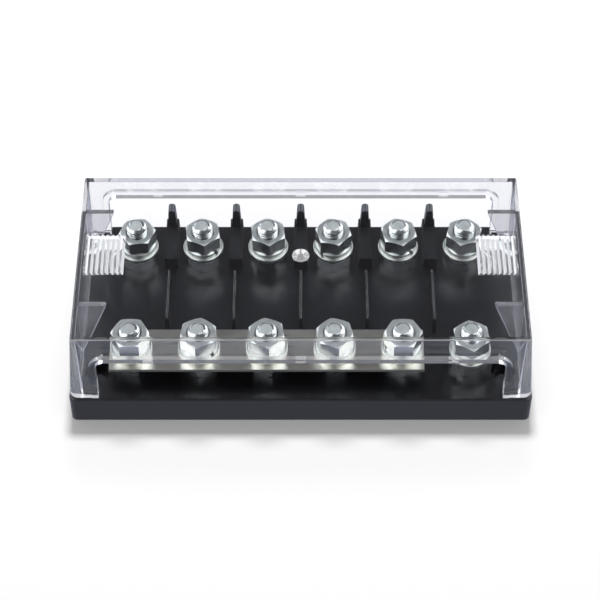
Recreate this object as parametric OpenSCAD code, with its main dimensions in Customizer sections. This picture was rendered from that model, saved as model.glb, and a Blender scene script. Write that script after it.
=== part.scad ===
// Six-way holder for bolt-down fuses: a moulded base with two rows of M8 studs,
// a bus bar along the front row and a clear lift-off cover.
// Frame: origin at the middle of the base's underside, X along the rows, Y to the cable side, Z up.

/* [Ways] */
// Number of fuse ways
ways = 6; // [3:1:8]
// Distance from way to way along the base
way_pitch = 25.4; // [24:0.2:32]
// Distance between the two stud rows, the hole spacing of the fuse
row_spacing = 51; // [46:0.5:60]
// Number of front studs, counted from the right, that the bus bar leaves free
free_ways = 1; // [0:1:2]

/* [Base] */
// Height of the base from the mounting surface to its top
base_h = 12.5; // [11:0.5:18]
// From the last stud's axis to the end of the base
base_end = 23; // [21:0.5:30]
// From a stud row to the long edge of the base
base_edge = 17.5; // [16.5:0.5:25]
// Radius of the base's upright corners
base_corner_r = 2.4; // [1.5:0.5:5]
// Radius of the base's top edge
base_edge_r = 0.8; // [0.4:0.1:1.2]
// Thickness of the base's outer wall
base_wall = 2.6; // [1.6:0.1:4]
// Thickness of the base's top plate
base_plate = 3.6; // [2.4:0.2:5]
// Thickness of the stiffening ribs under the base
under_rib_t = 1.6; // [1:0.1:3]

/* [Stud seats in the base] */
// Thickness of the base between a bolt head and the lower nut
seat_t = 5; // [3.6:0.2:5.8]
// Outside diameter of the boss round each bolt head
seat_boss_d = 18.6; // [17.6:0.2:20]
// Play round a bolt head in its hexagon pocket
head_play = 0.2; // [0.1:0.05:0.4]
// Play round a stud in its hole
stud_play = 0.1; // [0.05:0.05:0.3]

/* [Mounting holes] */
// From the end of the base to a mounting hole's axis
mount_from_end = 10; // [8.5:0.5:10.5]
// From the long edge of the base to a mounting hole's axis
mount_from_edge = 14; // [12:0.5:15]
// Diameter of a mounting hole
mount_d = 5.5; // [4.5:0.1:6.5]
// Diameter of the screw head's recess
mount_head_d = 9.5; // [8.5:0.1:10.5]
// Depth of the screw head's recess
mount_head_depth = 6; // [3:0.5:8]
// Wall round a mounting hole under the base
mount_boss_wall = 3; // [2:0.2:4]

/* [Dividers] */
// Width of a divider block at its foot
block_w = 5.4; // [4:0.2:6]
// Height of a divider block
block_h = 5.3; // [3:0.1:8]
// Length of a divider block, forward from the base's back edge
block_len = 21; // [14:0.5:24]
// Width of a divider post near its top
post_w = 2.7; // [2:0.1:3]
// Height of a divider post above the base
post_h = 14.3; // [10:0.1:17]
// Depth of a divider post
post_depth = 4; // [3:0.2:8]
// How far a divider stays in from the base's back edge
divider_inset = 0.8; // [0.4:0.1:2]
// How much the dividers' sides lean in for the mould, as a slope
mould_slope = 0.055; // [0:0.005:0.08]
// Thickness of the thin rib between two fuses, near its top
fuse_rib_t = 1.3; // [1:0.1:3]
// Height of the thin rib between two fuses
fuse_rib_h = 9.6; // [4:0.2:14]
// Length of the thin rib between two fuses
fuse_rib_len = 24; // [14:0.5:30]

/* [Cover seats on the base] */
// Length of each arm of a corner lug
lug_len = 6; // [5:0.5:9]
// Thickness of a corner lug
lug_t = 2; // [1.2:0.1:2.4]
// Height of a corner lug
lug_h = 1.5; // [1:0.1:4]
// Gap between a corner lug and the cover's wall
lug_gap = 0.3; // [0.2:0.05:0.6]

/* [Studs, nuts and washers] */
// Diameter of the studs
stud_d = 7.8; // [7:0.1:8]
// Length of a stud's bolt under its head
bolt_len = 25; // [24:0.5:30]
// Height of a bolt head
head_h = 5.3; // [4:0.1:6]
// Width across flats of the nuts and bolt heads
hex_af = 12.6; // [12:0.1:13]
// Height of a nut
nut_h = 6.5; // [4:0.1:7]
// Chamfer at the stud tips
tip_chamfer = 1.6; // [0.6:0.1:1.8]
// Outside diameter of the flat washers
washer_d = 15.6; // [14.5:0.1:17]
// Thickness of the flat washers
washer_t = 1.6; // [1:0.1:2]
// Outside diameter of the spring washers
spring_d = 14; // [12.8:0.1:14.4]
// Thickness of the spring washers
spring_t = 2; // [1.2:0.1:2.2]
// Width of the split in a spring washer
spring_split = 1.1; // [0.6:0.1:2]
// Play between a stud and what is threaded or slipped over it
bore_play = 0.15; // [0.05:0.05:0.3]

/* [Bus bar] */
// Depth of the bus bar
bar_w = 18.5; // [16:0.5:20]
// Thickness of the bus bar
bar_t = 1.5; // [1:0.1:2.5]
// How far the bus bar runs past its end studs
bar_end = 8; // [7:0.5:12]

/* [Cover] */
// Height of the cover above the base, without its finger ribs
cover_h = 32.7; // [30:0.1:45]
// Thickness of the cover's top, and of its walls next to the top
cover_wall = 1.5; // [1.2:0.1:2]
// How far the cover's foot stays in from the base's ends
cover_inset_x = 0.2; // [0.2:0.1:1.2]
// How far the cover's foot stays in from the base's long edges
cover_inset_y = 1.1; // [0.4:0.1:1.6]
// How far the end walls lean in from foot to top
cover_lean_x = 2.75; // [0.5:0.1:5]
// How far the long walls lean in from foot to top
cover_lean_y = 1.95; // [0.5:0.05:5]
// How far the inside of the walls leans out from top to foot, for the mould
inner_draft = 0.2; // [0:0.05:0.3]
// Radius of the cover's corners at the foot
cover_foot_r = 3.4; // [2.2:0.1:5]
// Radius of the cover's upright corners inside
cover_inner_r = 1.6; // [0.5:0.1:1.8]
// Radius of the cover's top edge
cover_top_r = 0.8; // [0.6:0.1:2]

/* [Cover openings] */
// Width of a corner leg beside the cable openings
leg_w = 10.9; // [8:0.1:14]
// Height of the cable openings
opening_h = 21.3; // [14:0.1:24]
// Radius of the cable openings' upper corners
opening_r = 3.5; // [1:0.1:6]
// Width of the rim round a cable opening
rim_w = 2.3; // [1:0.1:3]
// How far a rim's upright face stands out from the cover's foot
rim_out = 0.2; // [0.1:0.05:0.3]
// Width of the small pads under the upper edge of the cable openings
pad_w = 3.7; // [2:0.1:6]
// How far the small pads hang into the cable openings
pad_h = 0.5; // [0.3:0.1:2]
// From the cover's end to the middle of the outer small pads
pad_from_end = 30.5; // [18:0.5:34]

/* [Cover details] */
// Thickness of the corner webs
web_t = 2; // [1.2:0.1:3]
// Distance of the corner webs from the middle
web_y = 22.7; // [14:0.1:30]
// How far a corner web reaches in from the end wall under the top
web_reach = 11; // [6:0.5:16]
// Height of a corner web's lower tip above the base
web_lift = 3.2; // [0.5:0.1:5]
// Number of ribs in a finger grip
grip_ribs = 8; // [4:1:12]
// Distance from rib to rib in a finger grip
grip_pitch = 1.9; // [1.4:0.1:2.4]
// Height of the ribs in a finger grip
grip_h = 1.3; // [0.5:0.1:1.6]
// Length of the ribs in a finger grip
grip_len = 19; // [10:0.5:26]
// From the cover's top edge to the first rib of a finger grip
grip_from_edge = 2.5; // [1.5:0.1:6]
// Diameter of the dimple in the middle of the top
dimple_d = 6.5; // [3:0.1:8]
// Depth of the dimple in the middle of the top
dimple_depth = 1; // [0.4:0.1:1]

/* [Hidden] */
$fn = 64;
// Overlap that joins two shapes of one piece
bite = 0.4;
// How far a cut runs past the surface that it opens
overcut = 1;
// Thin layer that the cover's outline is drawn with at its foot
skin = 0.01;
// Radius of the corners inside the base
cell_r = 1;

bar_ways = ways - free_ways;
row_y = row_spacing / 2;
way_numbers = [1 : ways];
gap_numbers = [1 : ways - 1];
base_w = (ways - 1) * way_pitch + 2 * base_end;
base_d = row_spacing + 2 * base_edge;
cell_h = base_h - base_plate;
seat_z = base_h - seat_t;
mount_x = base_w / 2 - mount_from_end;
mount_y = base_d / 2 - mount_from_edge;
back_y = base_d / 2 - divider_inset;

// Heights of the fastener stack
nut_z = base_h;
bar_z = nut_z + nut_h;
front_stack_z = bar_z + bar_t;

// Lean of the thin ribs' sides for the mould, as a slope
rib_slope = 0.02;
hex_d = hex_af / cos(30);
bore_d = stud_d + 2 * bore_play;
nut_cone = 1.01;

cover_foot_x = base_w / 2 - cover_inset_x;
cover_foot_y = base_d / 2 - cover_inset_y;
cover_top_x = cover_foot_x - cover_lean_x;
cover_top_y = cover_foot_y - cover_lean_y;
opening_x = cover_foot_x - leg_w;
pad_x = cover_foot_x - pad_from_end;
inner_x = cover_top_x - cover_wall;
inner_y = cover_top_y - cover_wall;
lug_x = inner_x + inner_draft * (1 - lug_h / cover_h) - lug_gap;
lug_y = inner_y + inner_draft * (1 - lug_h / cover_h) - lug_gap;

// Radius of the cover's top edge inside
inner_edge_r = 0.45;

// How far each fastener happens to be turned, left to right
back_nut_turns = [-22, 7, 5, 17, 12, -14];
front_nut_turns = [30, -7, 8, 12, 30, 5];
back_lower_turns = [10, -8, 25, 3, -17, 14];
front_lower_turns = [22, -5, 15, -24, 8, -20];
split_turns = [200, 50, 155, -40, 48, 120];

function stud_x(i) = (i - (ways + 1) / 2) * way_pitch;
function gap_x(i) = stud_x(i) + way_pitch / 2;
function turn(list, i) = list[(i - 1) % len(list)];
// Only the front studs that the bus bar joins are raised by its thickness
function front_z(i) = i <= bar_ways ? front_stack_z : bar_z;

// Outline of a wall section with a rounded top, from x = 0 outwards
module edge_section(reach, h, r) {
    square([reach, h - r]);
    square([reach - r, h]);
    translate([reach - r, h - r]) circle(r);
}

// Outline of a section that is rounded at both top edges
module two_edge_section(w, h, r) {
    edge_section(w / 2, h, r);
    mirror([1, 0]) edge_section(w / 2, h, r);
}

// Rectangle with round corners
module rounded_rectangle(w, d, r) {
    square([w - 2 * r, d], center = true);
    square([w, d - 2 * r], center = true);
    at_corners(w / 2 - r, d / 2 - r) circle(r);
}

module at_corners(x, y) {
    for (sx = [-1, 1], sy = [-1, 1])
        translate([sx * x, sy * y]) children();
}

// Mirrored into the four corners, so that what points outwards keeps doing so
module in_four_corners() {
    for (sx = [0, 1], sy = [0, 1])
        mirror([sx, 0, 0]) mirror([0, sy, 0]) children();
}

// Block with round upright corners and a round top edge
module slab(w, d, h, corner_r, edge_r) {
    rotate([90, 0, 0])
        linear_extrude(d - 2 * corner_r, center = true) two_edge_section(w, h, edge_r);
    rotate([90, 0, 90])
        linear_extrude(w - 2 * corner_r, center = true) two_edge_section(d, h, edge_r);
    at_corners(w / 2 - corner_r, d / 2 - corner_r)
        rotate_extrude() edge_section(corner_r, h, edge_r);
}

// One rib under the base from its front wall to its back wall
module under_rib(x, h) {
    translate([x - under_rib_t / 2, -base_d / 2 + base_wall / 2, 0])
        cube([under_rib_t, base_d - base_wall, h]);
}

// Bosses, posts and ribs that stiffen the base from below
module under_structure() {
    joined_h = cell_h + bite;
    for (i = way_numbers) {
        for (y = [-row_y, row_y])
            translate([stud_x(i), y, 0]) cylinder(d = seat_boss_d, h = joined_h);
        under_rib(stud_x(i), joined_h);
    }
    for (i = gap_numbers)
        under_rib(gap_x(i), joined_h);
    for (y = [-row_y, 0, row_y])
        translate([-base_w / 2 + base_wall / 2, y - under_rib_t / 2, 0])
            cube([base_w - base_wall, under_rib_t, joined_h]);
    at_corners(mount_x, mount_y)
        cylinder(d = mount_head_d + 2 * mount_boss_wall, h = joined_h);
}

// Section of a round-topped upright whose sides lean in, standing on y = 0
module leaning_section(tip_w, h, slope) {
    round_r = tip_w / 2;
    foot = round_r + slope * (h - round_r);
    polygon([
        [-foot, 0],
        [foot, 0],
        [round_r, h - round_r],
        [-round_r, h - round_r]
    ]);
    translate([0, h - round_r]) circle(round_r);
}

// Stepped divider between two cable outlets, at the back edge
module divider() {
    block_tip_w = block_w - 2 * mould_slope * block_h;
    translate([0, back_y, 0]) rotate([90, 0, 0]) {
        linear_extrude(block_len)
            polygon([
                [-block_w / 2, -bite],
                [block_w / 2, -bite],
                [block_tip_w / 2, block_h],
                [-block_tip_w / 2, block_h]
            ]);
        linear_extrude(post_depth)
            translate([0, block_h - bite])
                leaning_section(post_w, post_h - block_h + bite, mould_slope);
    }
}

// Thin rib between two fuse bodies
module fuse_rib() {
    rotate([90, 0, 0])
        linear_extrude(fuse_rib_len, center = true)
            translate([0, -bite]) leaning_section(fuse_rib_t, fuse_rib_h + bite, rib_slope);
}

// Angled lug that centres the cover in one corner, round outside as the cover is inside
module corner_lug() {
    translate([lug_x - lug_len, lug_y - lug_len, base_h - bite])
        linear_extrude(lug_h + bite)
            difference() {
                square(lug_len);
                square(lug_len - lug_t);
                translate([lug_len - cover_inner_r, lug_len - cover_inner_r])
                    difference() {
                        square(lug_len);
                        circle(cover_inner_r);
                    }
            }
}

// Hole for one stud, with a hexagon pocket below for its head
module stud_hole() {
    translate([0, 0, -overcut]) cylinder(d = stud_d + 2 * stud_play, h = base_h + 2 * overcut);
    translate([0, 0, -overcut])
        rotate([0, 0, 30]) cylinder(d = (hex_af + 2 * head_play) / cos(30), h = seat_z + overcut, $fn = 6);
}

// Screw hole with a recess for the screw's head
module mount_hole() {
    translate([0, 0, -overcut]) cylinder(d = mount_d, h = base_h + 2 * overcut);
    translate([0, 0, base_h - mount_head_depth]) cylinder(d = mount_head_d, h = mount_head_depth + overcut);
}

module base() {
    color([0.13, 0.13, 0.15])
        difference() {
            union() {
                difference() {
                    slab(base_w, base_d, base_h, base_corner_r, base_edge_r);
                    translate([0, 0, -overcut])
                        linear_extrude(cell_h + overcut)
                            rounded_rectangle(base_w - 2 * base_wall, base_d - 2 * base_wall, cell_r);
                }
                under_structure();
                for (i = gap_numbers)
                    translate([gap_x(i), 0, base_h]) {
                        divider();
                        fuse_rib();
                    }
                in_four_corners() corner_lug();
            }
            for (i = way_numbers, y = [-row_y, row_y])
                translate([stud_x(i), y, 0]) stud_hole();
            at_corners(mount_x, mount_y) mount_hole();
        }
}

// Round blank with cone-shaped ends that takes the corners off a hexagon
module coned_blank(h, bottom, top) {
    end_r = nut_cone * hex_af / 2;
    cone_h = (hex_d / 2 - end_r) * tan(30);
    rotate_extrude()
        polygon([
            [0, 0],
            [bottom ? end_r : hex_d / 2, 0],
            [hex_d / 2, bottom ? cone_h : 0],
            [hex_d / 2, top ? h - cone_h : h],
            [top ? end_r : hex_d / 2, h],
            [0, h]
        ]);
}

module hexagon_piece(h, bottom, top) {
    intersection() {
        rotate([0, 0, 30]) cylinder(d = hex_d, h = h, $fn = 6);
        coned_blank(h, bottom, top);
    }
}

// Hexagon-head bolt from below: its upper end is the stud
module stud() {
    color([0.72, 0.73, 0.72])
        union() {
            translate([0, 0, seat_z - head_h]) hexagon_piece(head_h, true, false);
            translate([0, 0, seat_z - bite])
                rotate_extrude()
                    polygon([
                        [0, 0],
                        [stud_d / 2, 0],
                        [stud_d / 2, bolt_len + bite - tip_chamfer],
                        [stud_d / 2 - tip_chamfer, bolt_len + bite],
                        [0, bolt_len + bite]
                    ]);
        }
}

module nut(turned) {
    mouth = 0.5;
    color([0.75, 0.76, 0.75])
        rotate([0, 0, turned])
            difference() {
                hexagon_piece(nut_h, true, true);
                translate([0, 0, -overcut]) cylinder(d = bore_d, h = nut_h + 2 * overcut);
                translate([0, 0, nut_h - mouth])
                    cylinder(d1 = bore_d, d2 = bore_d + 2 * mouth, h = mouth);
                cylinder(d1 = bore_d + 2 * mouth, d2 = bore_d, h = mouth);
            }
}

module flat_washer() {
    difference() {
        cylinder(d = washer_d, h = washer_t);
        translate([0, 0, -overcut]) cylinder(d = bore_d, h = washer_t + 2 * overcut);
    }
}

// Spring washer drawn flat, with its slanting split
module spring_washer() {
    slant = 20;
    difference() {
        cylinder(d = spring_d, h = spring_t);
        translate([0, 0, -overcut]) cylinder(d = bore_d, h = spring_t + 2 * overcut);
        translate([spring_d / 2, 0, spring_t / 2])
            rotate([slant, 0, 0]) cube([spring_d, spring_split, 3 * spring_t], center = true);
    }
}

module flat_washers_back() {
    color([0.78, 0.78, 0.76])
        for (i = way_numbers) translate([stud_x(i), row_y, bar_z]) flat_washer();
}

module flat_washers_front() {
    color([0.78, 0.78, 0.76])
        for (i = way_numbers) translate([stud_x(i), -row_y, front_z(i)]) flat_washer();
}

module spring_washers_back() {
    color([0.7, 0.71, 0.7])
        for (i = way_numbers)
            translate([stud_x(i), row_y, bar_z + washer_t])
                rotate([0, 0, turn(split_turns, i) - 90]) spring_washer();
}

module spring_washers_front() {
    color([0.7, 0.71, 0.7])
        for (i = way_numbers)
            translate([stud_x(i), -row_y, front_z(i) + washer_t])
                rotate([0, 0, turn(split_turns, i + 2)]) spring_washer();
}

module bus_bar() {
    color([0.66, 0.65, 0.6])
        difference() {
            translate([stud_x(1) - bar_end, -row_y - bar_w / 2, bar_z])
                cube([(bar_ways - 1) * way_pitch + 2 * bar_end, bar_w, bar_t]);
            for (i = [1 : bar_ways])
                translate([stud_x(i), -row_y, bar_z - overcut]) cylinder(d = bore_d, h = bar_t + 2 * overcut);
        }
}

// Hood with walls that lean in by lean_x and lean_y, round corners and a round top edge, standing on z = 0
module hood(foot_x, foot_y, lean_x, lean_y, h, foot_r, top_r) {
    hull() {
        at_corners(foot_x - foot_r, foot_y - foot_r)
            cylinder(r = foot_r, h = skin, $fn = 32);
        at_corners(foot_x - lean_x - top_r, foot_y - lean_y - top_r)
            translate([0, 0, h - top_r])
                rotate_extrude($fn = 32)
                    intersection() {
                        circle(top_r);
                        square(top_r);
                    }
    }
}

// The cover's cable opening, cut through both long walls
module cable_opening() {
    rotate([90, 0, 0])
        linear_extrude(base_d, center = true)
            translate([0, -overcut]) two_edge_section(2 * opening_x, opening_h + overcut, opening_r);
}

// Rims round both cable openings, upright where the walls lean in behind them
module opening_rims() {
    rotate([90, 0, 0])
        linear_extrude(2 * (cover_foot_y + rim_out), center = true)
            two_edge_section(2 * (opening_x + rim_w), opening_h + rim_w, opening_r + rim_w);
}

// Triangular web that stiffens one end of the top against the end wall
module corner_web() {
    web_top = cover_h - cover_wall / 2;
    translate([0, web_y, 0])
        rotate([90, 0, 0])
            linear_extrude(web_t, center = true)
                polygon([
                    [inner_x - web_reach, web_top],
                    [inner_x + bite, web_top],
                    [inner_x + bite, web_lift],
                    [inner_x, web_lift]
                ]);
}

// Ribs for the fingers on one end of the top
module finger_grip() {
    for (i = [0 : grip_ribs - 1])
        translate([cover_top_x - grip_from_edge - (i + 0.5) * grip_pitch, 0, cover_h])
            rotate([90, 0, 0])
                linear_extrude(grip_len, center = true)
                    polygon([
                        [-grip_pitch / 2, -bite],
                        [grip_pitch / 2, -bite],
                        [grip_pitch / 2, 0],
                        [0, grip_h],
                        [-grip_pitch / 2, 0]
                    ]);
}

// Small pads under the upper edges of both openings, as deep as the wall there
module opening_pads() {
    pad_y = inner_y + inner_draft + bite;
    pad_depth = cover_foot_y + rim_out - bite - pad_y;
    for (x = [-pad_x, 0, pad_x], side = [0, 1])
        mirror([0, side, 0])
            translate([x - pad_w / 2, pad_y, opening_h - pad_h]) cube([pad_w, pad_depth, pad_h + bite]);
}

module cover() {
    dimple_r = (pow(dimple_d / 2, 2) + pow(dimple_depth, 2)) / (2 * dimple_depth);
    color([0.88, 0.88, 0.92, 0.35])
        translate([0, 0, base_h]) {
            difference() {
                union() {
                    hood(cover_foot_x, cover_foot_y, cover_lean_x, cover_lean_y,
                        cover_h, cover_foot_r, cover_top_r);
                    opening_rims();
                }
                translate([0, 0, -skin])
                    hood(inner_x + inner_draft, inner_y + inner_draft, inner_draft, inner_draft,
                        cover_h - cover_wall, cover_inner_r, inner_edge_r);
                cable_opening();
                translate([0, 0, cover_h - dimple_depth + dimple_r]) sphere(dimple_r);
            }
            in_four_corners() corner_web();
            finger_grip();
            mirror([1, 0, 0]) finger_grip();
            opening_pads();
        }
}

base();
cover();
bus_bar();
for (i = way_numbers) {
    translate([stud_x(i), row_y, 0]) stud();
    translate([stud_x(i), -row_y, 0]) stud();
    translate([stud_x(i), row_y, nut_z]) nut(turn(back_lower_turns, i));
    translate([stud_x(i), -row_y, nut_z]) nut(turn(front_lower_turns, i));
    translate([stud_x(i), row_y, bar_z + washer_t + spring_t]) nut(turn(back_nut_turns, i));
    translate([stud_x(i), -row_y, front_z(i) + washer_t + spring_t]) nut(turn(front_nut_turns, i));
}
flat_washers_back();
flat_washers_front();
spring_washers_back();
spring_washers_front();
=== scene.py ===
"""Looks of a six-way holder for bolt-down fuses: black moulded base, zinc-plated studs, nuts and washers,
a tinned bus bar and a clear cover. Lengths are in metres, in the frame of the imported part."""

import math

import bmesh
import bpy
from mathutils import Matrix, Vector


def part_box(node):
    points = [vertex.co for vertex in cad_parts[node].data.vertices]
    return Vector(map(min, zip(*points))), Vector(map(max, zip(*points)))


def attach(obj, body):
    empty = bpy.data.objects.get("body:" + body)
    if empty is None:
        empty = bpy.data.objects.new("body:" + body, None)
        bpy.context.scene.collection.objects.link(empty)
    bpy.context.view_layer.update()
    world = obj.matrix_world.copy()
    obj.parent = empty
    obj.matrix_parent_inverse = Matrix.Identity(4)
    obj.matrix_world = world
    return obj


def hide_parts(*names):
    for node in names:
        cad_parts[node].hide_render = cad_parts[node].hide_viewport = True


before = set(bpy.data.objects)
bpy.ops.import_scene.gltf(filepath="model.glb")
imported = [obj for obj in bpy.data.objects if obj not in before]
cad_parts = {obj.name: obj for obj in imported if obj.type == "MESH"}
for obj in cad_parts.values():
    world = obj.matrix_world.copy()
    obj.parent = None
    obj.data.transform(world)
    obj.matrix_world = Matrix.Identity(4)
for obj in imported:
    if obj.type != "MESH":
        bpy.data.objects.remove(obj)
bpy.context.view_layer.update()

MM = 0.001
ROWS = ("back", "front")
WAYS = range(1, 7)
BASE_BODY = "base_unit"
COVER_BODY = "cover"

# Where the base's finish changes: heights of its top and of the dividers' tips, where their painted sheen
# of light starts and is full, and the ribs' back end
BASE_TOP = 12.5 * MM
RAISED = BASE_TOP + 0.6 * MM
TIP_START = 22.2 * MM
TIP_SHEEN_FULL = TIP_START + 3 * MM
RIB_END = 14 * MM
DIVIDER_START = RIB_END + 2 * MM

# Rounding of the edges, as the real pieces have it
NUT_EDGE = 0.18 * MM
WASHER_EDGE = 0.25 * MM
BAR_EDGE = 0.2 * MM
COVER_EDGE = 0.28 * MM
SHARP_ANGLE = math.radians(28)
CREASE_ANGLE = math.radians(50)
FLAT_ANGLE = math.radians(0.6)

# Points closer than these are one
JOIN = 0.001 * MM
COVER_JOIN = 0.03 * MM
CUT_JOIN = 0.0001 * MM

# A face looks along an axis where its normal's share of it is above SQUARE, and across it below EDGEWISE
SQUARE = 0.9
EDGEWISE = 0.05
NUT_SIDE = 0.2

# Thread of the M8 studs: height along one pitch, as a share of it, and radius
THREAD_PITCH = 1.25 * MM
THREAD_CREST = 3.87 * MM
THREAD_ROOT = 3.15 * MM
THREAD_FORM = ((0.0, THREAD_ROOT), (0.1, THREAD_ROOT), (0.38, THREAD_CREST), (0.7, THREAD_CREST))
THREAD_STEPS = 40
CREST_SIDE = 0.3

# Narrowed tip of a stud and its cut face
TIP_RADIUS = 2.6 * MM
TIP_SLOPE = 2.4
CUT_FACE = 0.95
CUT_DEPTH = 0.01 * MM

# Cover: half lengths and places of its forms, and heights above the floor
DIMPLE_RADIUS = 3.3 * MM
DIMPLE_START = 0.02 * MM
GRIP_HEIGHT = 1.3 * MM
GRIP_START = 0.05 * MM
WEB_PLACE = 22.7 * MM
HALF_WEB = 1.2 * MM
TOP_THICKNESS = 1.6 * MM
TOP_ROUNDING = 0.85 * MM
INNER_EDGE_DEPTH = 4 * TOP_ROUNDING
FOOT_LIFT = 0.05 * MM
LEG_INSIDE = 38.4 * MM
END_WALL_INSIDE = 80.3 * MM
RIM_INSIDE = 38 * MM
RIM_TOP = 36.3 * MM
RIM_HALF_LENGTH = 78.2 * MM
RIM_SIDE = 77 * MM
RIM_STRAIGHT = 66 * MM
PAD_TOP = 33.75 * MM

# Finishes of the cover: name, colour, clarity, lowest and highest roughness, strength of its waves
CLEAR, RIBBED, SATIN, EDGE_SHEEN, FOOT_GLINT, FROSTED, DARK_SHADE, RIM_SHEEN = range(8)
COVER_FINISHES = (("clear_walls", (0.975, 0.977, 1.0), 0.998, 0.0, 0.02, 0.02),
                  # The grips' grey tint, darker than the walls' plastic, is painted shade.
                  ("ribbed_grips", (0.72, 0.723, 0.755), 0.95, 0.03, 0.07, 0.04),
                  ("satin_webs", (0.97, 0.962, 1.0), 0.88, 0.04, 0.1, 0.04),
                  # Painted highlight: white haze that makes rounded edges, rim pads and rim sides light like
                  # glints.
                  ("edge_sheen_haze", (0.975, 0.977, 1.0), 0.6, 0.03, 0.1, 0.04),
                  # Painted highlight: thick white haze on the legs' feet that stands for light carried
                  # through the plastic.
                  ("foot_glint_haze", (0.97, 0.97, 1.0), 0.25, 0.1, 0.2, 0.06),
                  ("frosted_dimple", (0.97, 0.97, 1.0), 0.75, 0.2, 0.3, 0.06),
                  # Painted shade: dark haze on the end walls' feet and in the inner top corners at the ends.
                  ("dark_shade_haze", (0.11, 0.114, 0.13), 0.3, 0.35, 0.45, 0.06),
                  # Painted light: white haze that lights the rims' faces and rounded edges.
                  ("rim_sheen_haze", (0.97, 0.973, 1.0), 0.88, 0.04, 0.12, 0.04))
COVER_SHADOW = (0.975, 0.975, 0.98)

# Camera fitted to the photograph: the object's middle lies a little right of the picture's
PICTURE_SIZE = 600
MIDDLE_PIXEL = 300.7
CAMERA_ELEVATION = math.radians(50.685)
CAMERA_TARGET = Vector((0.0, 15.5 * MM, 0.0))
CAMERA_DISTANCE = 765 * MM
CAMERA_LENS = 115.63
CAMERA_SENSOR = 36.0
CAMERA_NEAREST = 10 * MM

# Floor and light
FLOOR_HALF = 4.0
FLOOR_DROP = 0.02 * MM
FLOOR_SHADE = 0.84
FLOOR_GLOW = 0.1
FLOOR_IN_GLOSS = (0.47, 0.5, 0.6, 1)
LAMP_PLACE = (0.0, 0.525, 0.86)
LAMP_SIZE = (0.3, 0.24)
LAMP_POWER = 9.2
WHITE_BEHIND = (1, 1, 1, 1)
FILL = (0.45, 0.45, 0.45, 1)
SIDE_BOX = (3.3, 3.36, 3.37, 1)

# The room in gloss by height, and the side boxes by distance to the side and by height
ROOM_IN_GLOSS = ((0.0, (0.75, 0.76, 0.79)), (0.3, (0.6, 0.61, 0.64)),
                 (0.5, (0.095, 0.098, 0.106)), (1.0, (0.07, 0.073, 0.078)))
OFF = (0, 0, 0)
ON = (1, 1, 1)
BOX_ACROSS = ((0.3, OFF), (0.36, ON), (0.78, ON), (0.88, OFF))
BOX_UPWARDS = ((0.15, OFF), (0.3, ON))

# How often light may bounce, because it runs a long way inside the clear cover's walls
ALL_BOUNCES = 24
GLOSSY_BOUNCES = 16
CLEAR_BOUNCES = 24


# Material helpers

def new_material(name):
    """An empty material with one Principled shader, its tree and that shader."""
    material = bpy.data.materials.new(name)
    material.use_nodes = True
    tree = material.node_tree
    tree.nodes.clear()
    output = tree.nodes.new("ShaderNodeOutputMaterial")
    shader = tree.nodes.new("ShaderNodeBsdfPrincipled")
    tree.links.new(shader.outputs["BSDF"], output.inputs["Surface"])
    return material, tree, shader


def object_coordinates(tree, scale=(1, 1, 1)):
    """Object coordinates, stretched by scale."""
    place = tree.nodes.new("ShaderNodeTexCoord")
    mapping = tree.nodes.new("ShaderNodeMapping")
    mapping.inputs["Scale"].default_value = scale
    tree.links.new(place.outputs["Object"], mapping.inputs["Vector"])
    return mapping.outputs["Vector"]


def noise(tree, vector, scale, detail, roughness=0.5):
    """Noise from 0 to 1 along a vector."""
    node = tree.nodes.new("ShaderNodeTexNoise")
    node.inputs["Scale"].default_value = scale
    node.inputs["Detail"].default_value = detail
    node.inputs["Roughness"].default_value = roughness
    tree.links.new(vector, node.inputs["Vector"])
    return node.outputs["Fac"]


def ramp(tree, value, stops):
    """A colour ramp through stops of (place, colour)."""
    node = tree.nodes.new("ShaderNodeValToRGB")
    elements = node.color_ramp.elements
    while len(elements) < len(stops):
        elements.new(0.5)
    for element, (place, colour) in zip(elements, stops):
        element.position = place
        element.color = (*colour, 1.0)
    tree.links.new(value, node.inputs["Fac"])
    return node.outputs["Color"]


def spread(tree, value, low, high, start=0.0, end=1.0):
    """A value that runs from start to end, turned into one from low to high."""
    node = tree.nodes.new("ShaderNodeMapRange")
    node.inputs["From Min"].default_value = start
    node.inputs["From Max"].default_value = end
    node.inputs["To Min"].default_value = low
    node.inputs["To Max"].default_value = high
    tree.links.new(value, node.inputs["Value"])
    return node.outputs["Result"]


def maths(tree, operation, *values):
    """The result of an operation on values, each a number or a node's output."""
    node = tree.nodes.new("ShaderNodeMath")
    node.operation = operation
    for place, value in zip(node.inputs, values):
        if isinstance(value, bpy.types.NodeSocket):
            tree.links.new(value, place)
        else:
            place.default_value = value
    return node.outputs["Value"]


def mixed(tree, share, first, second):
    """Two colours mixed by a share of the second, each four numbers or a node's output."""
    node = tree.nodes.new("ShaderNodeMix")
    node.data_type = "RGBA"
    tree.links.new(share, node.inputs["Factor"])
    for name, colour in (("A", first), ("B", second)):
        if isinstance(colour, bpy.types.NodeSocket):
            tree.links.new(colour, node.inputs[name])
        else:
            node.inputs[name].default_value = colour
    return node.outputs["Result"]


def bump(tree, height, strength, distance):
    """A normal that follows a height."""
    node = tree.nodes.new("ShaderNodeBump")
    node.inputs["Strength"].default_value = strength
    node.inputs["Distance"].default_value = distance
    tree.links.new(height, node.inputs["Height"])
    return node.outputs["Normal"]


# Finishes

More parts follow.
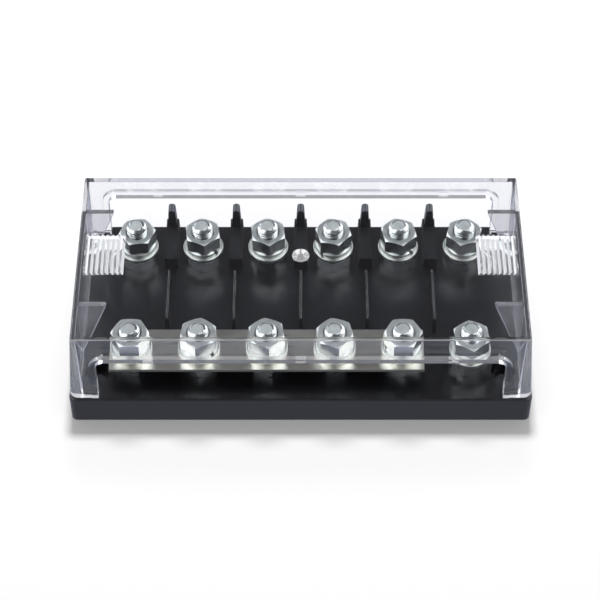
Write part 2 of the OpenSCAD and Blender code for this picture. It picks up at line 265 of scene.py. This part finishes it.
def black_moulding():
    """Semi-gloss black plastic with a fine grain and a faint blue cast, satin on the dividers, and coloured
    lighter on their tips as a painted sheen of light."""
    material, tree, shader = new_material("black_moulding")
    place = object_coordinates(tree)
    split = tree.nodes.new("ShaderNodeSeparateXYZ")
    tree.links.new(place, split.inputs["Vector"])
    flow = noise(tree, place, scale=60, detail=4)
    grain = noise(tree, place, scale=2600, detail=2)

    plain = ramp(tree, flow, ((0.3, (0.0048, 0.0048, 0.006)), (0.7, (0.0065, 0.0065, 0.0085))))
    # Painted sheen: the dividers' tips are coloured lighter above TIP_START to stand for light glancing off
    # them.
    painted_tip_sheen = ramp(tree, flow, ((0.3, (0.032, 0.036, 0.046)), (0.7, (0.05, 0.056, 0.07))))
    tip_sheen_share = spread(tree, split.outputs["Z"], 0.0, 1.0, TIP_START, TIP_SHEEN_FULL)
    tree.links.new(mixed(tree, tip_sheen_share, plain, painted_tip_sheen), shader.inputs["Base Color"])

    raised = spread(tree, split.outputs["Z"], 0.0, 1.0, BASE_TOP, RAISED)
    rougher = spread(tree, split.outputs["Y"], -0.04, 0.06, RIB_END, DIVIDER_START)
    rough = maths(tree, "MULTIPLY_ADD", raised, rougher, spread(tree, flow, 0.26, 0.34))
    tree.links.new(rough, shader.inputs["Roughness"])
    tree.links.new(bump(tree, grain, 0.025, 0.05 * MM), shader.inputs["Normal"])
    shader.inputs["IOR"].default_value = 1.52
    return material


def zinc_plate(name, light, dark, smooth, rough):
    """Bright zinc plate: a slightly cool metal with cloudy gloss."""
    material, tree, shader = new_material(name)
    place = object_coordinates(tree)
    cloud = noise(tree, place, scale=420, detail=4)
    fine = noise(tree, place, scale=2400, detail=3)
    tree.links.new(ramp(tree, cloud, ((0.25, dark), (0.75, light))), shader.inputs["Base Color"])
    tree.links.new(spread(tree, cloud, smooth, rough), shader.inputs["Roughness"])
    tree.links.new(bump(tree, fine, 0.03, 0.02 * MM), shader.inputs["Normal"])
    shader.inputs["Metallic"].default_value = 1.0
    return material


def tinned_bar():
    """Tinned flat bar with faint rolling streaks along its length."""
    material, tree, shader = new_material("tinned_bar")
    streaks = noise(tree, object_coordinates(tree, (30, 1600, 1600)), scale=1.0, detail=5, roughness=0.6)
    cloud = noise(tree, object_coordinates(tree), scale=90, detail=4)
    colour = ramp(tree, cloud, ((0.3, (0.61, 0.59, 0.53)), (0.7, (0.76, 0.74, 0.67))))
    tree.links.new(colour, shader.inputs["Base Color"])
    tree.links.new(spread(tree, streaks, 0.24, 0.34), shader.inputs["Roughness"])
    tree.links.new(bump(tree, streaks, 0.03, 0.02 * MM), shader.inputs["Normal"])
    shader.inputs["Metallic"].default_value = 1.0
    return material


def let_lamps_through(tree, shader, tint):
    """Lets the lamps' light pass straight through a clear shader."""
    output = next(n for n in tree.nodes if n.type == "OUTPUT_MATERIAL")
    path = tree.nodes.new("ShaderNodeLightPath")
    clear = tree.nodes.new("ShaderNodeBsdfTransparent")
    clear.inputs["Color"].default_value = (*tint, 1.0)
    mix = tree.nodes.new("ShaderNodeMixShader")
    tree.links.new(path.outputs["Is Shadow Ray"], mix.inputs["Fac"])
    tree.links.new(shader.outputs["BSDF"], mix.inputs[1])
    tree.links.new(clear.outputs["BSDF"], mix.inputs[2])
    tree.links.new(mix.outputs["Shader"], output.inputs["Surface"])


def clear_plastic(name, colour, clarity, smooth, rough, wave):
    """Clear acrylic with slight flow waves and a few rubbed patches. Clarity is the share of the light
    that it lets through; the rest is haze."""
    material, tree, shader = new_material(name)
    place = object_coordinates(tree)
    patches = noise(tree, place, scale=45, detail=5, roughness=0.6)
    waves = noise(tree, place, scale=70, detail=2)
    shader.inputs["Base Color"].default_value = (*colour, 1.0)
    shader.inputs["Transmission Weight"].default_value = clarity
    shader.inputs["IOR"].default_value = 1.5
    tree.links.new(spread(tree, patches, smooth, rough), shader.inputs["Roughness"])
    tree.links.new(bump(tree, waves, wave, 0.2 * MM), shader.inputs["Normal"])
    let_lamps_through(tree, shader, COVER_SHADOW)
    return material


# Piece helpers

def merged_copy(node, join=JOIN):
    """A CAD node's surface as a bmesh, with its loose triangles joined into flat faces."""
    bm = bmesh.new()
    bm.from_mesh(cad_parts[node].data)
    bmesh.ops.remove_doubles(bm, verts=bm.verts, dist=join)
    bmesh.ops.dissolve_limit(bm, angle_limit=FLAT_ANGLE, verts=bm.verts, edges=bm.edges)
    return bm


def has_room(edge, room):
    """True where no edge beside this one, round the same face, is shorter than room."""
    for vert in edge.verts:
        for other in vert.link_edges:
            beside = any(face in edge.link_faces for face in other.link_faces)
            if other is not edge and beside and other.calc_length() < room:
                return False
    return True


def round_edges(bm, radius, segments, left_sharp=()):
    """Rounds every edge that is sharper than SHARP_ANGLE and has room, and gives back the new faces."""
    sharp = [e for e in bm.edges if len(e.link_faces) == 2 and e.calc_face_angle() > SHARP_ANGLE]
    sharp = [e for e in sharp if has_room(e, radius) and e not in left_sharp]
    rounded = bmesh.ops.bevel(bm, geom=sharp, offset=radius, offset_type="OFFSET", segments=segments,
                              profile=0.5, affect="EDGES", clamp_overlap=True, material=-1)
    return rounded["faces"]


def cut_level(bm, height, way):
    """Cuts off what lies above a height, or below it where way is -1, and closes the cut."""
    cut = bmesh.ops.bisect_plane(bm, geom=bm.verts[:] + bm.edges[:] + bm.faces[:], dist=CUT_JOIN,
                                 plane_co=(0, 0, height), plane_no=(0, 0, way), clear_outer=True)
    rim = [e for e in cut["geom_cut"] if isinstance(e, bmesh.types.BMEdge)]
    bmesh.ops.edgenet_fill(bm, edges=rim)


def piece_for(node, bm, body, materials):
    """Makes a smooth-shaded piece that stands for a CAD node and rides on its body."""
    for face in bm.faces:
        face.smooth = True
    for edge in bm.edges:
        edge.smooth = len(edge.link_faces) == 2 and edge.calc_face_angle() < CREASE_ANGLE
    mesh = bpy.data.meshes.new("finished_" + node)
    bm.to_mesh(mesh)
    bm.free()
    for material in materials:
        mesh.materials.append(material)
    piece = bpy.data.objects.new("finished_" + node, mesh)
    bpy.context.scene.collection.objects.link(piece)
    weighted = piece.modifiers.new("flat_faces_stay_flat", "WEIGHTED_NORMAL")
    weighted.mode = "FACE_AREA"
    weighted.weight = 90
    weighted.keep_sharp = True
    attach(piece, body)
    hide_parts(node)


def rounded_piece(node, radius, material):
    """A CAD node with its edges rounded."""
    bm = merged_copy(node)
    round_edges(bm, radius, 2)
    piece_for(node, bm, BASE_BODY, [material])


def hexagon_nut(node, pressed, drawn):
    """A nut with rounded edges, pressed ends and smoother drawn sides."""
    bm = merged_copy(node)
    round_edges(bm, NUT_EDGE, 2)
    for face in bm.faces:
        if abs(face.normal.z) < NUT_SIDE:
            face.material_index = 1
    piece_for(node, bm, BASE_BODY, [pressed, drawn])


# Studs

def wind_thread(bm, axis, foot_z, tip_z):
    """Winds the thread form round the stud's axis, trims it to length and narrows its tip."""
    turns = math.ceil((tip_z - foot_z) / THREAD_PITCH) + 2
    start_z = foot_z - THREAD_PITCH
    profile = []
    for turn in range(turns):
        for share, radius in THREAD_FORM:
            place = (axis.x + radius, axis.y, start_z + (turn + share) * THREAD_PITCH)
            profile.append(bm.verts.new(place))
    edges = [bm.edges.new(pair) for pair in zip(profile, profile[1:])]
    rise = THREAD_PITCH / THREAD_STEPS
    bmesh.ops.spin(bm, geom=profile + edges, cent=(axis.x, axis.y, 0), axis=(0, 0, 1), dvec=(0, 0, rise),
                   angle=math.tau, steps=THREAD_STEPS, use_merge=False)
    bmesh.ops.remove_doubles(bm, verts=bm.verts, dist=JOIN)
    cut_level(bm, tip_z, 1)
    cut_level(bm, foot_z, -1)
    for vert in bm.verts:
        off = Vector((vert.co.x - axis.x, vert.co.y - axis.y))
        off *= min(1.0, (TIP_RADIUS + TIP_SLOPE * (tip_z - vert.co.z)) / THREAD_CREST)
        vert.co.x = axis.x + off.x
        vert.co.y = axis.y + off.y
    bmesh.ops.recalc_face_normals(bm, faces=bm.faces)


def threaded_stud(node, seat_z, thread, cut_tip, crest_shade):
    """A bolt with its head in the base, a real thread above its seat with its crests painted darker as shade,
    and a cut tip.
    """
    low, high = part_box(node)
    axis = (low + high) / 2
    bm = merged_copy(node)
    cut_level(bm, seat_z, 1)
    head = bpy.data.meshes.new("head")
    bm.to_mesh(head)
    bm.free()
    bm = bmesh.new()
    wind_thread(bm, axis, seat_z, high.z)
    for face in bm.faces:
        if face.normal.z > CUT_FACE and face.calc_center_median().z > high.z - CUT_DEPTH:
            face.material_index = 1
        # Crest faces take a darker copy of the zinc: painted shade that marks the thread's lines.
        elif abs(face.normal.z) < CREST_SIDE:
            face.material_index = 2
    bm.from_mesh(head)
    bpy.data.meshes.remove(head)
    piece_for(node, bm, BASE_BODY, [thread, cut_tip, crest_shade])


# Cover

def on_rim(middle):
    """True for a place on the rim of a cable opening."""
    return abs(middle.y) > RIM_INSIDE and abs(middle.x) < RIM_HALF_LENGTH and middle.z < RIM_TOP


def at_inner_end(middle, top_z):
    """True for a place inside the cover where its top meets an end wall."""
    under_top = top_z - INNER_EDGE_DEPTH < middle.z < top_z - TOP_ROUNDING
    return under_top and abs(middle.x) > END_WALL_INSIDE


def cover_finish(face, foot_z, top_z):
    """Which finish a face of the cover has: clear walls, ribbed grips, satin webs, edges and rims hazed white
    as painted highlights, a frosted dimple, and a foot hazed white under the legs as a painted highlight and
    dark under the end walls, like the inner end corners, as painted shade."""
    middle = face.calc_center_median()
    normal = face.normal
    # The feet: white haze under the legs as a painted highlight, dark haze under the end walls as painted
    # shade.
    if middle.z < foot_z + 2 * FOOT_LIFT and normal.z < -SQUARE:
        return FOOT_GLINT if abs(middle.y) > LEG_INSIDE else DARK_SHADE
    if middle.z > top_z + GRIP_START:
        return RIBBED
    if middle.xy.length < DIMPLE_RADIUS and middle.z < top_z - DIMPLE_START and normal.z > 0:
        return FROSTED
    on_web = abs(abs(middle.y) - WEB_PLACE) < HALF_WEB and middle.z < top_z - TOP_THICKNESS
    if on_web and abs(normal.y) > SQUARE:
        return SATIN
    # The front top rounding is hazed white: a painted highlight line.
    on_front_rounding = middle.z > top_z - TOP_ROUNDING and 0.08 < normal.z < 0.7 and normal.y < -0.5
    if on_front_rounding:
        return EDGE_SHEEN
    # Inner corners at the ends that slant inwards are hazed dark: painted shade.
    slants_inwards = -0.995 < normal.z < -0.02 and abs(normal.x) > 0.1
    if at_inner_end(middle, top_z) and slants_inwards:
        return DARK_SHADE
    if not on_rim(middle):
        return CLEAR
    # Rim pads and rim sides are hazed white: painted highlights.
    on_pad = abs(middle.x) < RIM_STRAIGHT and middle.z < PAD_TOP and abs(normal.y) < EDGEWISE
    on_side = abs(middle.x) > RIM_SIDE and abs(normal.x) > SQUARE
    if on_pad or on_side:
        return EDGE_SHEEN
    # Rim faces seen edge-on are hazed white as painted light, more heavily on the back rims.
    if abs(normal.y) < EDGEWISE:
        return EDGE_SHEEN if middle.y > 0 else RIM_SHEEN
    return CLEAR


def edge_finish(face, top_z):
    """Which finish a rounded edge of the cover has."""
    middle = face.calc_center_median()
    # Rounded edges of the rims and elsewhere are hazed white: painted highlights.
    if on_rim(middle) and abs(middle.x) < RIM_STRAIGHT:
        return RIM_SHEEN
    if abs(face.normal.x) > 0.3 and middle.z > top_z - INNER_EDGE_DEPTH:
        return CLEAR
    return EDGE_SHEEN


def inner_end_edges(bm, top_z):
    """The edges inside the cover where its top meets the end walls, which are sharp."""
    found = set()
    for edge in bm.edges:
        middle = (edge.verts[0].co + edge.verts[1].co) / 2
        if at_inner_end(middle, top_z) and not edge.is_convex:
            found.add(edge)
    return found


def clear_cover(finishes):
    """The cover with its edges rounded, a finish for each of its zones and its foot a hair above the base."""
    bm = merged_copy("cover", COVER_JOIN)
    low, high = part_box("cover")
    top_z = high.z - GRIP_HEIGHT
    for vert in bm.verts:
        vert.co.z = max(vert.co.z, low.z + FOOT_LIFT)
    for side in (-1, 1):
        lowest = [f for f in bm.faces if f.calc_center_median().z < low.z + 2 * FOOT_LIFT]
        foot = [f for f in lowest if f.normal.z < -SQUARE]
        edges = {e for f in foot for e in f.edges}
        verts = {v for f in foot for v in f.verts}
        bmesh.ops.bisect_plane(bm, geom=[*verts, *edges, *foot], dist=CUT_JOIN,
                               plane_co=(0, side * LEG_INSIDE, 0), plane_no=(0, 1, 0))
    for face in bm.faces:
        face.material_index = cover_finish(face, low.z, top_z)
    for face in round_edges(bm, COVER_EDGE, 3, inner_end_edges(bm, top_z)):
        if face.material_index in (CLEAR, SATIN, RIM_SHEEN):
            face.material_index = edge_finish(face, top_z)
    piece_for("cover", bm, COVER_BODY, finishes)


# Object

pressed_zinc = zinc_plate("pressed_zinc", (0.78, 0.81, 0.8), (0.64, 0.67, 0.66), 0.4, 0.5)
drawn_zinc = zinc_plate("drawn_zinc", (0.74, 0.77, 0.78), (0.6, 0.63, 0.64), 0.18, 0.28)
stud_zinc = zinc_plate("stud_zinc", (0.58, 0.605, 0.6), (0.48, 0.505, 0.5), 0.18, 0.26)
# A darker copy of the stud's zinc for the thread crests: painted shade.
shaded_crest_zinc = zinc_plate("shaded_crest_zinc", (0.2, 0.21, 0.21), (0.15, 0.16, 0.16), 0.22, 0.32)
cut_zinc = zinc_plate("cut_zinc", (0.8, 0.84, 0.82), (0.66, 0.7, 0.68), 0.5, 0.6)
washer_zinc = zinc_plate("washer_zinc", (0.73, 0.75, 0.72), (0.57, 0.59, 0.56), 0.26, 0.36)

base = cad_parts["base"]
base.data.materials.clear()
base.data.materials.append(black_moulding())

seat_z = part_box("lower_nut_back_1")[0].z
for row in ROWS:
    for way in WAYS:
        threaded_stud(f"stud_{row}_{way}", seat_z, stud_zinc, cut_zinc, shaded_crest_zinc)
        hexagon_nut(f"lower_nut_{row}_{way}", pressed_zinc, drawn_zinc)
        hexagon_nut(f"top_nut_{row}_{way}", pressed_zinc, drawn_zinc)
    rounded_piece(f"flat_washers_{row}", WASHER_EDGE, washer_zinc)
    rounded_piece(f"spring_washers_{row}", WASHER_EDGE, washer_zinc)
rounded_piece("bus_bar", BAR_EDGE, tinned_bar())
clear_cover([clear_plastic(*finish) for finish in COVER_FINISHES])


# Floor, light and camera

def passed(tree, depth):
    """1 for light that has met a surface of one kind on its way to the camera, else 0."""
    path = tree.nodes.new("ShaderNodeLightPath")
    return maths(tree, "GREATER_THAN", path.outputs[depth], 0.5)


def white_floor():
    """A wide white floor that keeps the object's shadow and is a plain grey in gloss."""
    bm = bmesh.new()
    bmesh.ops.create_grid(bm, x_segments=1, y_segments=1, size=FLOOR_HALF)
    bmesh.ops.translate(bm, verts=bm.verts, vec=(0, 0, -FLOOR_DROP))
    mesh = bpy.data.meshes.new("floor")
    bm.to_mesh(mesh)
    bm.free()
    floor = bpy.data.objects.new("floor", mesh)
    bpy.context.scene.collection.objects.link(floor)

    material = bpy.data.materials.new("white_floor")
    material.use_nodes = True
    material.cycles.emission_sampling = "NONE"
    tree = material.node_tree
    tree.nodes.clear()
    output = tree.nodes.new("ShaderNodeOutputMaterial")
    paint = tree.nodes.new("ShaderNodeBsdfDiffuse")
    paint.inputs["Color"].default_value = (FLOOR_SHADE, FLOOR_SHADE, FLOOR_SHADE, 1)
    glow = tree.nodes.new("ShaderNodeEmission")
    strength = spread(tree, passed(tree, "Diffuse Depth"), FLOOR_GLOW, 0.0)
    tree.links.new(strength, glow.inputs["Strength"])
    seen = tree.nodes.new("ShaderNodeAddShader")
    tree.links.new(paint.outputs["BSDF"], seen.inputs[0])
    tree.links.new(glow.outputs["Emission"], seen.inputs[1])
    grey = tree.nodes.new("ShaderNodeEmission")
    grey.inputs["Color"].default_value = FLOOR_IN_GLOSS
    both = tree.nodes.new("ShaderNodeMixShader")
    tree.links.new(passed(tree, "Glossy Depth"), both.inputs["Fac"])
    tree.links.new(seen.outputs["Shader"], both.inputs[1])
    tree.links.new(grey.outputs["Emission"], both.inputs[2])
    tree.links.new(both.outputs["Shader"], output.inputs["Surface"])
    mesh.materials.append(material)


def studio_world():
    """White behind the object, soft fill on it, and in its gloss a dim room with two bright side boxes."""
    world = bpy.data.worlds.new("studio")
    bpy.context.scene.world = world
    world.use_nodes = True
    world.cycles.sampling_method = "NONE"
    tree = world.node_tree
    tree.nodes.clear()
    output = tree.nodes.new("ShaderNodeOutputWorld")
    background = tree.nodes.new("ShaderNodeBackground")
    place = tree.nodes.new("ShaderNodeTexCoord")
    split = tree.nodes.new("ShaderNodeSeparateXYZ")
    tree.links.new(place.outputs["Generated"], split.inputs["Vector"])
    room = ramp(tree, split.outputs["Z"], ROOM_IN_GLOSS)
    across = ramp(tree, maths(tree, "ABSOLUTE", split.outputs["X"]), BOX_ACROSS)
    upwards = ramp(tree, split.outputs["Z"], BOX_UPWARDS)
    room_with_boxes = mixed(tree, maths(tree, "MULTIPLY", across, upwards), room, SIDE_BOX)
    seen = mixed(tree, passed(tree, "Glossy Depth"), WHITE_BEHIND, room_with_boxes)
    lit = mixed(tree, passed(tree, "Diffuse Depth"), seen, FILL)
    tree.links.new(lit, background.inputs["Color"])
    tree.links.new(background.outputs["Background"], output.inputs["Surface"])


def soft_lamp(name, place, size, power):
    """A rectangular lamp that looks at the object and doesn't mirror in its gloss."""
    lamp = bpy.data.lights.new(name, "AREA")
    lamp.shape = "RECTANGLE"
    lamp.size, lamp.size_y = size
    lamp.energy = power
    holder = bpy.data.objects.new(name, lamp)
    holder.location = place
    holder.rotation_euler = (-Vector(place)).to_track_quat("-Z", "Y").to_euler()
    holder.visible_glossy = False
    holder.visible_transmission = False
    bpy.context.scene.collection.objects.link(holder)


def photo_camera():
    """The camera at the photograph's angle."""
    camera = bpy.data.cameras.new("camera")
    camera.lens = CAMERA_LENS
    camera.sensor_width = CAMERA_SENSOR
    camera.shift_x = (PICTURE_SIZE / 2 - MIDDLE_PIXEL) / PICTURE_SIZE
    camera.clip_start = CAMERA_NEAREST
    holder = bpy.data.objects.new("camera", camera)
    back = Vector((0, -math.cos(CAMERA_ELEVATION), math.sin(CAMERA_ELEVATION)))
    holder.location = CAMERA_TARGET + back * CAMERA_DISTANCE
    holder.rotation_euler = (math.pi / 2 - CAMERA_ELEVATION, 0, 0)
    bpy.context.scene.collection.objects.link(holder)
    bpy.context.scene.camera = holder


white_floor()
studio_world()
soft_lamp("lamp_behind", LAMP_PLACE, LAMP_SIZE, LAMP_POWER)
photo_camera()
bpy.context.scene.view_settings.view_transform = "Standard"
light_paths = bpy.context.scene.cycles
light_paths.max_bounces = ALL_BOUNCES
light_paths.glossy_bounces = GLOSSY_BOUNCES
light_paths.transmission_bounces = CLEAR_BOUNCES
